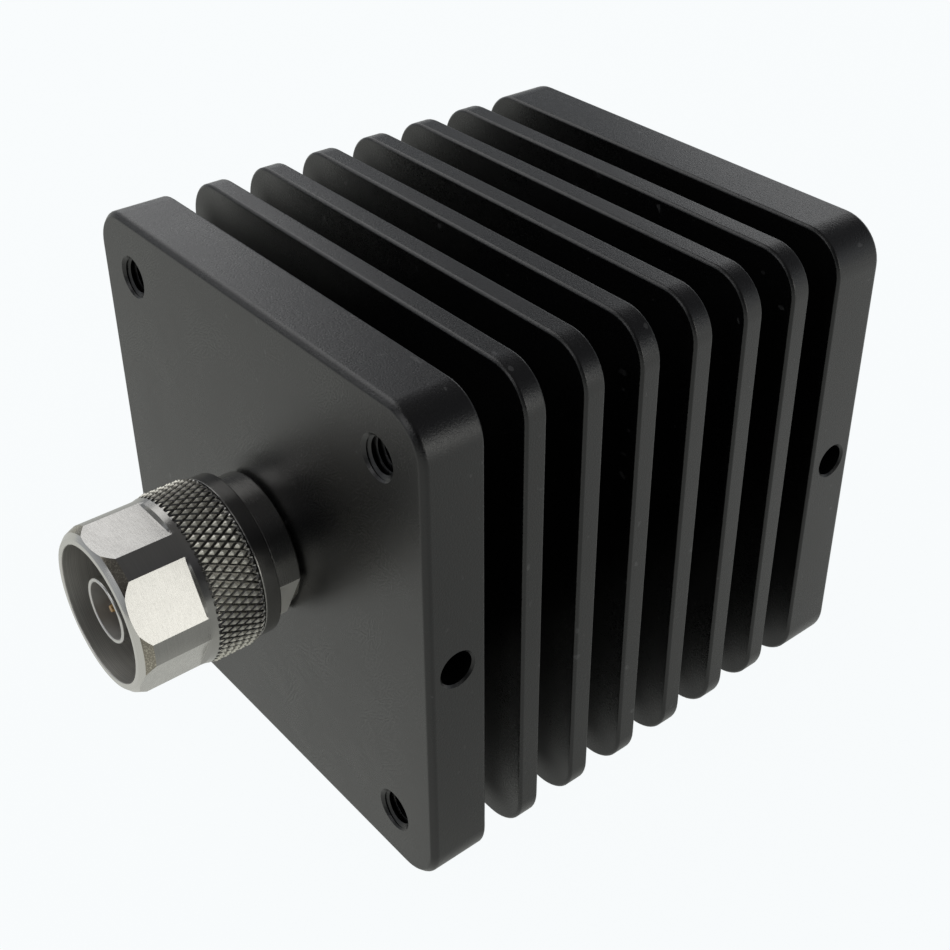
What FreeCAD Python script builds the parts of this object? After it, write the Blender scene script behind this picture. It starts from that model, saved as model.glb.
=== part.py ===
import FreeCAD, Part
import Sketcher
import os
from types import SimpleNamespace

# Coaxial attenuator: a finned square heat sink with a threaded plug in front and a matching jack behind.
# Millimetres. The signal axis is Y: the plug points along -Y and the jack along +Y. Z is up.
# The origin is on the signal axis, in the front face of the heat sink.

SIZES = {
    # heat sink: a square bar with gaps milled into it from all four sides
    "sink_width": 65.0,
    "sink_height": 65.0,
    "corner_radius": 5.5,
    "end_plate": 7.8,
    "fin_thick": 2.9,
    "fin_gap": 5.2,
    "fin_count": 6,
    "core_width": 34.0,
    "plate_bevel": 0.6,
    "through_bore": 8.0,
    # tapped holes of the end plates, at the thread's minor radius
    "screw_spacing": 50.0,
    "screw_hole": 2.1,
    "side_hole": 2.1,
    # radial clearances: seated pieces, the chip's holder in the bore, and the nut on its neck
    "seat": 0.02,
    "holder_fit": 0.04,
    "running": 0.05,
    # body of either connector: wrench collar outside, spigot inside the bore
    "collar_radius": 9.0,
    "collar_length": 3.5,
    "collar_flats": 16.0,
    "collar_flat_turn": -27.0,
    "collar_flat_count": 2,
    "spigot_length": 12.0,
    # coaxial line through either connector
    "line_outer": 3.5,
    "line_inner": 1.52,
    "bead_radius": 5.09,
    "bead_depth": 2.0,
    # plug
    "neck_radius": 7.0,
    "neck_length": 7.1,
    "contact_radius": 4.0,
    "contact_recess": 0.9,
    "gasket_radius": 6.6,
    "gasket_thick": 1.2,
    "ring_seat": 6.3,
    "ring_radius": 7.9,
    "ring_width": 0.95,
    "ring_groove_width": 1.05,
    "ring_place": 3.5,
    "ring_split": 2.4,
    "pin_tip": 0.8,
    "pin_recess": 0.7,
    "pin_tip_length": 4.6,
    "pin_point": 0.4,
    "pin_taper": 1.2,
    # coupling nut
    "nut_play": 0.3,
    "nut_length": 17.5,
    "nut_radius": 10.1,
    "knurl_radius": 10.5,
    "knurl_length": 6.0,
    "rear_band": 2.2,
    "nut_flats": 18.8,
    "nut_flat_length": 8.5,
    "nut_flat_turn": 26.5,
    "nut_flat_count": 6,
    "mouth_radius": 8.4,
    "mouth_depth": 5.0,
    "rim_radius": 9.2,
    "rim_slope": 1.6,
    "nut_thread": 7.5,
    "nut_thread_length": 4.8,
    "nut_relief": 8.15,
    "lip_length": 3.1,
    # jack
    "jack_barrel": 12.1,
    "jack_thread": 7.94,
    "jack_bevel": 0.6,
    "jack_socket_gap": 0.1,
    "jack_socket_depth": 9.2,
    "socket_recess": 4.2,
    "socket_bore": 0.85,
    "socket_depth": 4.0,
    "socket_slit": 0.3,
    "socket_slit_count": 4,
    # attenuating chip on its flange, and the two-part holder
    "channel_width": 9.4,
    "channel_height": 3.5,
    "flange_width": 9.0,
    "flange_thick": 1.5,
    "chip_width": 7.6,
    "chip_thick": 1.0,
    "chip_inset": 2.5,
    "lid_width": 6.0,
    "lid_thick": 0.6,
    "lid_inset": 2.0,
    "pin_overhang": 2.0,
    "tongue_length": 3.5,
    "lead_width": 2.4,
    "lead_thick": 0.15,
    "lead_lap": 1.5,
    # grub screws that lock the connector bodies
    "grub_length": 8.0,
    "grub_socket": 1.45,
    "grub_socket_sides": 6,
    "grub_socket_depth": 2.5,
}


class Measure:
    """A number together with the sheet formula that gives it."""

    def __init__(self, number, text=None):
        self.number = number
        self.text = text or repr(number)

    def joined(self, sign, other, number):
        return Measure(number, f"({self.text} {sign} {other.text})")

    def __add__(self, other):
        other = measure(other)
        return self.joined("+", other, self.number + other.number)

    def __sub__(self, other):
        other = measure(other)
        return self.joined("-", other, self.number - other.number)

    def __mul__(self, other):
        other = measure(other)
        return self.joined("*", other, self.number * other.number)

    def __truediv__(self, other):
        other = measure(other)
        return self.joined("/", other, self.number / other.number)

    def __neg__(self):
        return measure(0) - self


def measure(thing):
    """A plain number or a measure, as a measure."""
    return thing if isinstance(thing, Measure) else Measure(thing)


doc = FreeCAD.newDocument("coaxial_attenuator")
sheet = doc.addObject("Spreadsheet::Sheet", "Sizes")
for row, (alias, number) in enumerate(SIZES.items(), start=1):
    sheet.set(f"A{row}", alias)
    sheet.set(f"B{row}", str(number))
    sheet.setAlias(f"B{row}", alias)
doc.recompute()
size = SimpleNamespace(**{alias: Measure(number, f"Sizes.{alias}") for alias, number in SIZES.items()})

# Stations along the signal axis.
sink_length = size.end_plate * 2 + size.fin_count * size.fin_thick + (size.fin_count + 1) * size.fin_gap
collar_front = -size.collar_length
neck_front = collar_front - size.neck_length
ring_rear = collar_front - size.ring_place
ring_front = ring_rear - size.ring_groove_width
nut_rear = collar_front - size.nut_play
mouth = nut_rear - size.nut_length
flats_rear = mouth + size.nut_flat_length
knurl_rear = nut_rear - size.rear_band
knurl_front = knurl_rear - size.knurl_length
lip_front = nut_rear - size.lip_length
thread_front = mouth + size.mouth_depth
thread_rear = thread_front + size.nut_thread_length
contact_tip = mouth + size.contact_recess
pin_tip = contact_tip + size.pin_recess
plug_bead_front = -size.bead_depth
holder_front = size.spigot_length
holder_rear = sink_length - size.spigot_length
holder_length = holder_rear - holder_front
pin_rear = holder_front + size.pin_overhang
socket_front = holder_rear - size.pin_overhang
chip_front = holder_front + size.chip_inset
chip_rear = holder_rear - size.chip_inset
jack_collar = sink_length + size.collar_length
jack_end = jack_collar + size.jack_barrel
jack_bead_rear = sink_length + size.bead_depth
jack_shoulder = jack_end - size.jack_socket_depth
socket_tip = jack_end - size.socket_recess
lock_stations = (size.end_plate / 2, sink_length - size.end_plate / 2)

# Radii that fit into each other. The chip's upper face is in the plane of the signal axis.
spigot_radius = size.through_bore - size.seat
contact_bore = size.contact_radius + size.seat
jack_socket = size.contact_radius + size.jack_socket_gap
chip_floor = -size.chip_thick
holder_joint = chip_floor - size.flange_thick
# Widths that clear every turned piece of either connector, and the heat sink's bar.
clear = size.knurl_radius * 2
beyond_bar = size.sink_width + size.sink_height

AXIS_X = FreeCAD.Rotation(FreeCAD.Vector(0, 1, 0), 90)
AXIS_Y = FreeCAD.Rotation(FreeCAD.Vector(1, 0, 0), -90)
AXIS_Z = FreeCAD.Rotation()
FULL_TURN = 360
NEAR = 1e-4
# A sketch's own origin, as its constraints name it.
ROOT = -1
POINT = 1
parts = []


def bind(thing, path, amount):
    """Tie a property to the sheet formula of an amount."""
    thing.setExpression(path, measure(amount).text)


def keep(thing, name):
    """Name a finished sub-part and list it for export."""
    thing.Label = name
    parts.append(thing)
    return thing


def sketch_on(body, name, role, offset=0, turn=0):
    """A sketch on one of the body's own planes, moved along its normal and turned about it."""
    sketch = body.newObject("Sketcher::SketchObject", name)
    plane = next(item for item in body.Origin.OriginFeatures if item.Role == role)
    sketch.AttachmentSupport = [(plane, "")]
    sketch.MapMode = "FlatFace"
    bind(sketch, "AttachmentOffset.Base.z", offset)
    bind(sketch, "AttachmentOffset.Rotation.Angle", turn)
    return sketch


def outline(sketch, corners):
    """Close a chain of straight lines through corners, each a pair of measures from the origin."""
    corners = [(measure(across), measure(up)) for across, up in corners]
    points = [FreeCAD.Vector(across.number, up.number, 0) for across, up in corners]
    first = sketch.GeometryCount
    count = len(points)
    for index in range(count):
        sketch.addGeometry(Part.LineSegment(points[index], points[(index + 1) % count]))
    for index, (across, up) in enumerate(corners):
        line = first + index
        following = first + (index + 1) % count
        sketch.addConstraint(Sketcher.Constraint("Coincident", line, 2, following, 1))
        for kind, amount in (("DistanceX", across), ("DistanceY", up)):
            row = sketch.addConstraint(Sketcher.Constraint(kind, ROOT, POINT, line, 1, amount.number))
            bind(sketch, f"Constraints[{row}]", amount)
    return sketch


def circle(sketch, across, up, radius):
    """Add a circle whose centre and radius are measures."""
    across, up, radius = measure(across), measure(up), measure(radius)
    centre = FreeCAD.Vector(across.number, up.number, 0)
    index = sketch.addGeometry(Part.Circle(centre, FreeCAD.Vector(0, 0, 1), radius.number))
    for kind, amount in (("DistanceX", across), ("DistanceY", up)):
        row = sketch.addConstraint(Sketcher.Constraint(kind, ROOT, POINT, index, 3, amount.number))
        bind(sketch, f"Constraints[{row}]", amount)
    row = sketch.addConstraint(Sketcher.Constraint("Radius", index, radius.number))
    bind(sketch, f"Constraints[{row}]", radius)
    return sketch


def centred(width, height):
    """Corners of a rectangle round the sketch's origin."""
    right, top = measure(width) / 2, measure(height) / 2
    return [(-right, -top), (right, -top), (right, top), (-right, top)]


def band(left, right, low, high):
    """Corners of a rectangle between two stations and two radii."""
    return [(left, low), (right, low), (right, high), (left, high)]


def turned(name, corners):
    """A body turned about the signal axis from a section of stations and radii."""
    body = doc.addObject("PartDesign::Body", name)
    section = outline(sketch_on(body, f"{name}_section", "YZ_Plane"), corners)
    turning = body.newObject("PartDesign::Revolution", f"{name}_turning")
    turning.Profile = section
    turning.ReferenceAxis = (section, ["H_Axis"])
    turning.Angle = FULL_TURN
    return body


def groove(body, name, corners):
    """Cut a section of stations and radii all round the signal axis."""
    section = outline(sketch_on(body, f"{name}_section", "YZ_Plane"), corners)
    cut = body.newObject("PartDesign::Groove", name)
    cut.Profile = section
    cut.ReferenceAxis = (section, ["H_Axis"])
    cut.Angle = FULL_TURN
    return cut


def cross_sketch(body, name, station, turn=0):
    """A sketch across the signal axis at a station. A pocket cuts from it along +Y."""
    return sketch_on(body, name, "XZ_Plane", offset=-measure(station), turn=turn)


def pocket(body, name, sketch, depth):
    """Cut a sketch's outlines into the body, against the sketch's normal."""
    cut = body.newObject("PartDesign::Pocket", name)
    cut.Profile = sketch
    bind(cut, "Length", depth)
    return cut


def repeat_round(body, cut, sketch, count):
    """Repeat a cut in equal steps round the sketch's normal."""
    pattern = body.newObject("PartDesign::PolarPattern", f"{cut.Name}_round")
    pattern.Originals = [cut]
    pattern.Axis = (sketch, ["N_Axis"])
    pattern.Angle = FULL_TURN
    bind(pattern, "Occurrences", count)
    body.Tip = pattern
    return pattern


def mill_flats(body, name, station, depth, across_flats, turn, count):
    """Mill flats parallel to the signal axis, from a station along +Y."""
    sketch = cross_sketch(body, f"{name}_sketch", station, turn)
    outline(sketch, band(across_flats / 2, clear, -clear, clear))
    return repeat_round(body, pocket(body, name, sketch, depth), sketch, count)


def bevel(body, name, base, wanted, amount):
    """Chamfer the edges of a feature that pass a test."""
    doc.recompute()
    names = [f"Edge{row}" for row, edge in enumerate(base.Shape.Edges, start=1) if wanted(edge)]
    feature = body.newObject("PartDesign::Chamfer", name)
    feature.Base = (base, names)
    bind(feature, "Size", amount)
    return feature


def cylinder(name, radius, length, place, rotation):
    """A rod from a place along the axis that the rotation turns Z to."""
    rod = doc.addObject("Part::Cylinder", name)
    bind(rod, "Radius", radius)
    bind(rod, "Height", length)
    return put(rod, place, rotation)


def block(name, left, right, front, rear, low, high):
    """A box between two planes along each axis."""
    box = doc.addObject("Part::Box", name)
    bind(box, "Length", measure(right) - left)
    bind(box, "Width", measure(rear) - front)
    bind(box, "Height", measure(high) - low)
    return put(box, (left, front, low), AXIS_Z)


def put(thing, place, rotation):
    """Turn a thing and tie its place to three measures."""
    thing.Placement = FreeCAD.Placement(FreeCAD.Vector(), rotation)
    for letter, amount in zip("xyz", place):
        bind(thing, f"Placement.Base.{letter}", amount)
    return thing


def cut_from(name, base, tool):
    """Take a tool away from a base."""
    result = doc.addObject("Part::Cut", name)
    result.Base = base
    result.Tool = tool
    return result


def heat_sink():
    """A square bar with gaps milled down to a square core, a through bore and tapped end plates."""
    body = doc.addObject("PartDesign::Body", "heat_sink")
    square = outline(cross_sketch(body, "bar_section", 0), centred(size.sink_width, size.sink_height))
    bar = body.newObject("PartDesign::Pad", "bar")
    bar.Profile = square
    bar.Reversed = True
    bind(bar, "Length", sink_length)
    doc.recompute()

    corners = body.newObject("PartDesign::Fillet", "bar_corners")
    edges = enumerate(bar.Shape.Edges, start=1)
    corners.Base = (bar, [f"Edge{row}" for row, edge in edges if edge.BoundBox.YLength > NEAR])
    bind(corners, "Radius", size.corner_radius)

    frame = cross_sketch(body, "gap_sketch", size.end_plate)
    outline(frame, centred(beyond_bar, beyond_bar))
    outline(frame, centred(size.core_width, size.core_width))
    gap = pocket(body, "fin_gap_cut", frame, size.fin_gap)
    gaps = body.newObject("PartDesign::LinearPattern", "fin_gaps")
    gaps.Originals = [gap]
    gaps.Direction = (frame, ["N_Axis"])
    gaps.Reversed = True
    bind(gaps, "Length", size.fin_count * (size.fin_thick + size.fin_gap))
    bind(gaps, "Occurrences", size.fin_count + 1)
    body.Tip = gaps

    def on_end_face(edge):
        station = edge.CenterOfMass.y
        return edge.BoundBox.YLength < NEAR and (station < NEAR or station > sink_length.number - NEAR)

    bevel(body, "end_bevels", gaps, on_end_face, size.plate_bevel)
    groove(body, "through_bore", band(-size.end_plate, sink_length + size.end_plate, 0, size.through_bore))

    reach = size.screw_spacing / 2
    for name, station in (("front", measure(0)), ("rear", sink_length - size.end_plate)):
        sketch = cross_sketch(body, f"{name}_hole_sketch", station)
        for across, up in ((-reach, -reach), (reach, -reach), (reach, reach), (-reach, reach)):
            circle(sketch, across, up, size.screw_hole)
        pocket(body, f"{name}_holes", sketch, size.end_plate)

    side = sketch_on(body, "side_hole_sketch", "YZ_Plane", offset=size.sink_width / 2)
    for station in lock_stations:
        circle(side, station, 0, size.side_hole)
    pocket(body, "side_holes", side, size.sink_width / 2)
    return keep(body, "heat_sink")


def wrench_flats(body, name, station):
    """Mill the wrench flats of a connector's collar, from the collar's front."""
    across, turn, count = size.collar_flats, size.collar_flat_turn, size.collar_flat_count
    return mill_flats(body, name, station, size.collar_length, across, turn, count)


def plug_body():
    """Spigot, wrench collar and the neck that the coupling nut turns on."""
    body = turned("plug_body", [
        (neck_front, contact_bore),
        (neck_front, size.neck_radius),
        (ring_front, size.neck_radius),
        (ring_front, size.ring_seat),
        (ring_rear, size.ring_seat),
        (ring_rear, size.neck_radius),
        (collar_front, size.neck_radius),
        (collar_front, size.collar_radius),
        (0, size.collar_radius),
        (0, spigot_radius),
        (size.spigot_length, spigot_radius),
        (size.spigot_length, size.bead_radius),
        (plug_bead_front, size.bead_radius),
        (plug_bead_front, contact_bore),
    ])
    wrench_flats(body, "plug_flats", collar_front)
    return keep(body, "plug_body")


def jack_body():
    """Spigot, wrench collar and the threaded barrel that a mating nut screws onto."""
    body = turned("jack_body", [
        (holder_rear, size.bead_radius),
        (holder_rear, spigot_radius),
        (sink_length, spigot_radius),
        (sink_length, size.collar_radius),
        (jack_collar, size.collar_radius),
        (jack_collar, size.jack_thread),
        (jack_end - size.jack_bevel, size.jack_thread),
        (jack_end, size.jack_thread - size.jack_bevel),
        (jack_end, jack_socket),
        (jack_shoulder, jack_socket),
        (jack_shoulder, size.line_outer),
        (jack_bead_rear, size.line_outer),
        (jack_bead_rear, size.bead_radius),
    ])
    wrench_flats(body, "jack_flats", sink_length)
    return keep(body, "jack_body")


def plug_outer_contact():
    """The tube that meets the jack's shoulder."""
    section = band(contact_tip, plug_bead_front, size.line_outer, size.contact_radius)
    return keep(turned("plug_outer_contact", section), "plug_outer_contact")


def plug_gasket():
    """A flat seal on the neck's face, round the outer contact."""
    section = band(neck_front - size.gasket_thick, neck_front, contact_bore, size.gasket_radius)
    return keep(turned("plug_gasket", section), "plug_gasket")


def nut_snap_ring():
    """The split ring in the neck's groove that keeps the nut on."""
    section = band(ring_front, ring_front + size.ring_width, size.ring_seat + size.seat, size.ring_radius)
    body = turned("nut_snap_ring", section)
    half = size.ring_split / 2
    sketch = outline(cross_sketch(body, "split_sketch", ring_front), band(-clear, 0, -half, half))
    pocket(body, "split", sketch, size.ring_width)
    return keep(body, "nut_snap_ring")


def coupling_nut():
    """A deep mouth, milled flats, a knurled band, a plain rear band and the lip that holds it on."""
    lip_bore = size.neck_radius + size.running
    body = turned("coupling_nut", [
        (mouth, size.mouth_radius),
        (mouth, size.rim_radius),
        (mouth + size.rim_slope, size.nut_radius),
        (knurl_front, size.nut_radius),
        (knurl_front, size.knurl_radius),
        (knurl_rear, size.knurl_radius),
        (knurl_rear, size.nut_radius),
        (nut_rear, size.nut_radius),
        (nut_rear, lip_bore),
        (lip_front, lip_bore),
        (lip_front, size.nut_relief),
        (thread_rear, size.nut_relief),
        (thread_rear, size.nut_thread),
        (thread_front, size.nut_thread),
        (thread_front, size.mouth_radius),
    ])
    across, turn, count = size.nut_flats, size.nut_flat_turn, size.nut_flat_count
    mill_flats(body, "nut_flats", mouth, size.nut_flat_length, across, turn, count)
    return keep(body, "coupling_nut")


def bead(name, front, rear):
    """The insulator that carries a centre conductor, between a connector's shoulder and the chip's holder."""
    section = band(front, rear, size.line_inner + size.seat, size.bead_radius - size.seat)
    return keep(turned(name, section), name)


def tongue(body, name, station):
    """Cut the upper half off a centre conductor's inner end, so that a lead lies flat on it."""
    sketch = outline(cross_sketch(body, f"{name}_sketch", station), band(-clear, clear, 0, clear))
    return pocket(body, name, sketch, size.tongue_length)


def plug_center_pin():
    """The pin that a mating socket grips, with a thinner pointed tip."""
    body = turned("plug_center_pin", [
        (pin_tip, 0),
        (pin_tip, size.pin_tip - size.pin_point),
        (pin_tip + size.pin_taper, size.pin_tip),
        (pin_tip + size.pin_tip_length, size.pin_tip),
        (pin_tip + size.pin_tip_length, size.line_inner),
        (pin_rear, size.line_inner),
        (pin_rear, 0),
    ])
    tongue(body, "pin_tongue", pin_rear - size.tongue_length)
    return keep(body, "plug_center_pin")


def jack_center_contact():
    """The socket that takes a mating pin between its fingers."""
    body = turned("jack_center_contact", [
        (socket_front, 0),
        (socket_front, size.line_inner),
        (socket_tip, size.line_inner),
        (socket_tip, size.socket_bore),
        (socket_tip - size.socket_depth, size.socket_bore),
        (socket_tip - size.socket_depth, 0),
    ])
    tongue(body, "socket_tongue", socket_front)
    half = size.socket_slit / 2
    sketch = cross_sketch(body, "slit_sketch", socket_tip - size.socket_depth)
    outline(sketch, band(0, clear, -half, half))
    slit = pocket(body, "slit", sketch, size.socket_depth)
    repeat_round(body, slit, sketch, size.socket_slit_count)
    return keep(body, "jack_center_contact")


def lock_screw(name, station):
    """A grub screw in a side hole, which bears on the connector and has a socket in its outer end."""
    tip = size.through_bore
    rod = cylinder(f"{name}_rod", size.side_hole - size.seat, size.grub_length, (tip, station, 0), AXIS_X)
    socket = doc.addObject("Part::Prism", f"{name}_socket")
    bind(socket, "Polygon", size.grub_socket_sides)
    bind(socket, "Circumradius", size.grub_socket)
    bind(socket, "Height", size.grub_socket_depth)
    put(socket, (tip + size.grub_length - size.grub_socket_depth, station, 0), AXIS_X)
    return keep(cut_from(name, rod, socket), name)


def round_bar(name):
    """The round bar that either half of the chip's holder is cut from."""
    place = (0, holder_front, 0)
    return cylinder(name, size.through_bore - size.holder_fit, holder_length, place, AXIS_Y)


def chip_carrier():
    """The lower part of the holder, with a flat for the chip's flange."""
    above = block("above_carrier", -clear, clear, 0, sink_length, holder_joint, clear)
    return keep(cut_from("chip_carrier", round_bar("carrier_bar"), above), "chip_carrier")


def carrier_cover():
    """The upper part of the holder, with a channel over the chip."""
    half = size.channel_width / 2
    below = block("below_cover", -clear, clear, 0, sink_length, -clear, holder_joint)
    upper = cut_from("upper_bar", round_bar("cover_bar"), below)
    channel = block("channel", -half, half, 0, sink_length, holder_joint, size.channel_height)
    return keep(cut_from("carrier_cover", upper, channel), "carrier_cover")


def chip_flange():
    """The copper plate that the chip is soldered to, which spreads its heat into the holder."""
    half = size.flange_width / 2
    plate = block("chip_flange", -half, half, chip_front, chip_rear, holder_joint, chip_floor)
    return keep(plate, "chip_flange")


def resistor_chip():
    """The ceramic plate whose film takes up the power."""
    half = size.chip_width / 2
    return keep(block("resistor_chip", -half, half, chip_front, chip_rear, chip_floor, 0), "resistor_chip")


def chip_lid():
    """A thin ceramic plate bonded over the film."""
    half = size.lid_width / 2
    front = chip_front + size.lid_inset
    rear = chip_rear - size.lid_inset
    return keep(block("chip_lid", -half, half, front, rear, 0, size.lid_thick), "chip_lid")


def lead(name, front, rear):
    """A flat ribbon from a conductor's tongue to the chip's film."""
    half = size.lead_width / 2
    return keep(block(name, -half, half, front, rear, 0, size.lead_thick), name)


def build():
    heat_sink()
    coupling_nut()
    nut_snap_ring()
    plug_body()
    plug_outer_contact()
    plug_gasket()
    bead("plug_bead", plug_bead_front, holder_front)
    plug_center_pin()
    lock_screw("plug_lock_screw", lock_stations[0])
    jack_body()
    bead("jack_bead", holder_rear, jack_bead_rear)
    jack_center_contact()
    lock_screw("jack_lock_screw", lock_stations[1])
    chip_carrier()
    carrier_cover()
    chip_flange()
    resistor_chip()
    chip_lid()
    lead("input_lead", pin_rear - size.lead_lap, chip_front + size.lead_lap)
    lead("output_lead", chip_rear - size.lead_lap, socket_front + size.lead_lap)


def check():
    """Raise if an object failed, a cut took nothing away, or a sub-part isn't a sound solid."""
    doc.recompute()
    for thing in doc.Objects:
        if "Invalid" in thing.State or "Error" in thing.State:
            raise ValueError(f"{thing.Label} did not build: {thing.State}")
        if thing.TypeId in ("PartDesign::Pocket", "PartDesign::Groove"):
            if thing.Shape.Volume > thing.BaseFeature.Shape.Volume - NEAR:
                raise ValueError(f"{thing.Label} took nothing away")
    for part in parts:
        if part.Shape.isNull() or not part.Shape.isValid() or not part.Shape.Solids:
            raise ValueError(f"{part.Label} is not a sound solid")


def write():
    os.makedirs("parts", exist_ok=True)
    for part in parts:
        part.Shape.exportStep(f"parts/{part.Label}.step")
        solids = len(part.Shape.Solids)
        print(f"{part.Label}: {solids} solid, {part.Shape.Volume:.1f} mm3")


build()
check()
write()
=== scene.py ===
import math

import bmesh
import bpy
from mathutils import Matrix, Vector


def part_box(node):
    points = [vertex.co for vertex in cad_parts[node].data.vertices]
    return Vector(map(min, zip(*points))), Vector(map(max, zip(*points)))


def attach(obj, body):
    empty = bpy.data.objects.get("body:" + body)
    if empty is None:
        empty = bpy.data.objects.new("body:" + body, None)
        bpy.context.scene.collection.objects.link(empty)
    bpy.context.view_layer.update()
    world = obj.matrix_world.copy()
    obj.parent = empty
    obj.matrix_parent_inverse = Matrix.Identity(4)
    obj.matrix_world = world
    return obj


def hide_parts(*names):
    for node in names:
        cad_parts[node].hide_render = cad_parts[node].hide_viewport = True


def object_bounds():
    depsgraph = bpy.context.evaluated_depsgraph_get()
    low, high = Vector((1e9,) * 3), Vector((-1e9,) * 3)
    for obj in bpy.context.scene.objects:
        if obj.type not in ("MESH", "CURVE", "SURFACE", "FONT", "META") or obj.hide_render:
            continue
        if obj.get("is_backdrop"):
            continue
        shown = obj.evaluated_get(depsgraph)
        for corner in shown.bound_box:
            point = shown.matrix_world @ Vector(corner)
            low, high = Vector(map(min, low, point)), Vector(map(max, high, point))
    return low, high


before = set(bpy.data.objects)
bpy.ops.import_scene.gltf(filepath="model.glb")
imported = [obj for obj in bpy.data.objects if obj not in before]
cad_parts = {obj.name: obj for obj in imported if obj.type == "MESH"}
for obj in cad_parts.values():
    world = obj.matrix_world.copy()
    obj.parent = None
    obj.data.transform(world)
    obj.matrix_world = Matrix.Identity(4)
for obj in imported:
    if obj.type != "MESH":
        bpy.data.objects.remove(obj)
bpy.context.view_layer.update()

bl_info = {
    "name": "Coaxial attenuator",
    "version": (1, 0, 0),
    "blender": (4, 5, 0),
    "location": "3D View > Sidebar > Attenuator",
    "description": "Builds the finishes and fine forms of a coaxial attenuator round its packed solids",
    "category": "Object",
}

ATTENUATOR = "attenuator"
NUT = "coupling_nut"
TURN = math.tau
# Points of a skin that lie closer than this are merged, in metres
MERGE = 1e-6
# How far the masks of the finishes stand off the edges of the faces, in metres
END_MARGIN = 0.00002
BORE_MARGIN = 0.00005
WRENCH_MARGIN = 0.00003
FLAT_MARGIN = 0.000004
KNURL_MARGIN = 0.00001
# Section of a thread: place as a share of the pitch, and height as a share of the depth
COUPLING_THREAD = ((0.0, 0.0), (0.14, 0.0), (0.44, 1.0), (0.70, 1.0))
TAPPED_THREAD = ((0.0, 0.0), (0.22, 0.0), (0.56, 1.0), (0.66, 1.0))
# The white that the camera sees all round the part
WHITE = (0.965, 0.99, 1.0)
# Name, place from the middle of the part, width, height, power and, unless it is white, colour of each lamp
LAMPS = (
    ("side_box", (0.62, 0.19, 0.14), 0.30, 0.28, 0.46, (1.0, 0.985, 0.92)),
    ("left_box", (-0.565, 0.152, 0.38), 0.30, 0.50, 0.49),
    ("back_box", (-0.29, 0.57, 0.30), 0.30, 0.25, 0.21),
    ("front_box", (-0.42, -0.16, 0.46), 0.42, 0.40, 0.62),
    ("key_box", (0.02, -0.54, 0.40), 0.32, 0.26, 0.32),
)


def millimetres(amount):
    return amount * 0.001


def length(name, description, amount):
    """A size in metres, given here in millimetres."""
    return bpy.props.FloatProperty(
        name=name, description=description, default=millimetres(amount), min=0.0, precision=5, unit="LENGTH"
    )


def angle(name, description, degrees):
    return bpy.props.FloatProperty(
        name=name, description=description, default=math.radians(degrees), subtype="ANGLE"
    )


def count(name, description, amount):
    return bpy.props.IntProperty(name=name, description=description, default=amount, min=1)


def factor(name, description, amount, top=1.0):
    return bpy.props.FloatProperty(name=name, description=description, default=amount, min=0.0, max=top)


def colour(name, surface, value):
    text = "Colour of the " + surface
    return bpy.props.FloatVectorProperty(
        name=name, description=text, default=value, size=3, min=0.0, max=1.0, subtype="COLOR"
    )


class SinkSizes(bpy.types.PropertyGroup):
    """Sizes of the heat sink that its box doesn't give."""

    plate: length("End plate", "Thickness of either end plate", 7.8)
    fin: length("Fin", "Thickness of a fin", 2.9)
    gap: length("Gap", "Width of a gap", 5.2)
    fins: count("Fins", "Fins between the end plates", 6)
    core: length("Core", "Width of the square core", 34.0)
    corner: length("Corner", "Radius of the four long edges", 5.5)
    bore: length("Bore", "Radius of the through bore", 8.0)
    end_bevel: length("End bevel", "Bevel round either end face", 0.6)
    edge_break: length("Edge break", "Broken edge of fins and inner faces", 0.28)
    hole_spacing: length("Hole spacing", "Spacing of the corner holes", 50.0)
    hole_minor: length("Hole minor radius", "Radius inside the thread", 2.1)
    hole_major: length("Hole major radius", "Radius at the root of the thread", 2.5)
    hole_pitch: length("Hole pitch", "Pitch of the hole's thread", 0.8)
    hole_sink: length("Hole countersink", "Radius of the countersink at the face", 2.72)
    side_hole: length("Side hole", "Radius of a lock screw's hole", 2.1)


class NutSizes(bpy.types.PropertyGroup):
    """Sizes of the coupling nut that its box doesn't give."""

    body: length("Body", "Radius of the plain and strip parts", 10.1)
    rim: length("Rim", "Radius where the front bevel meets the cone", 9.65)
    slope: length("Slope", "Length of the cone behind the front face", 1.6)
    flats: length("Flats", "Distance from the axis to a flat", 9.4)
    flat_length: length("Flat length", "Length of the flats from the mouth", 8.5)
    flat_turn: angle("Flat turn", "Angle of the first flat", 29.5)
    knurl_length: length("Knurl length", "Length of the knurled band", 6.0)
    knurl_depth: length("Knurl depth", "Depth of the knurl's grooves", 0.42)
    knurl_teeth: count("Knurl teeth", "Diamonds round the knurl", 66)
    knurl_rows: count("Knurl rows", "Diamonds along the knurl", 3)
    band: length("Rear band", "Length of the plain band behind the knurl", 2.2)
    groove: length("Groove", "Depth of the groove behind the knurl", 0.4)
    mouth: length("Mouth", "Radius of the bore at the mouth", 8.4)
    mouth_depth: length("Mouth depth", "Depth of the plain bore", 5.0)
    thread_crest: length("Thread crest", "Radius at the crests of the thread", 7.5)
    thread_root: length("Thread root", "Radius at the roots of the thread", 8.0)
    thread_length: length("Thread length", "Length of the thread", 4.8)
    relief: length("Relief", "Radius behind the thread", 8.15)
    lip: length("Lip", "Length of the lip round the neck", 3.1)
    lip_bore: length("Lip bore", "Radius of the lip's bore", 7.05)
    edge: length("Front edge", "Bevel between the front face and the cone", 0.55)
    mouth_edge: length("Mouth edge", "Broken edge of the bore at the mouth", 0.08)
    shoulder: length("Shoulder", "Length of the slope behind a flat", 0.25)
    ring_low: length("Ring front", "Radius of the ring behind the flats, in front", 10.04)
    ring_high: length("Ring rear", "Radius of that ring at the knurl", 10.24)


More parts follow.
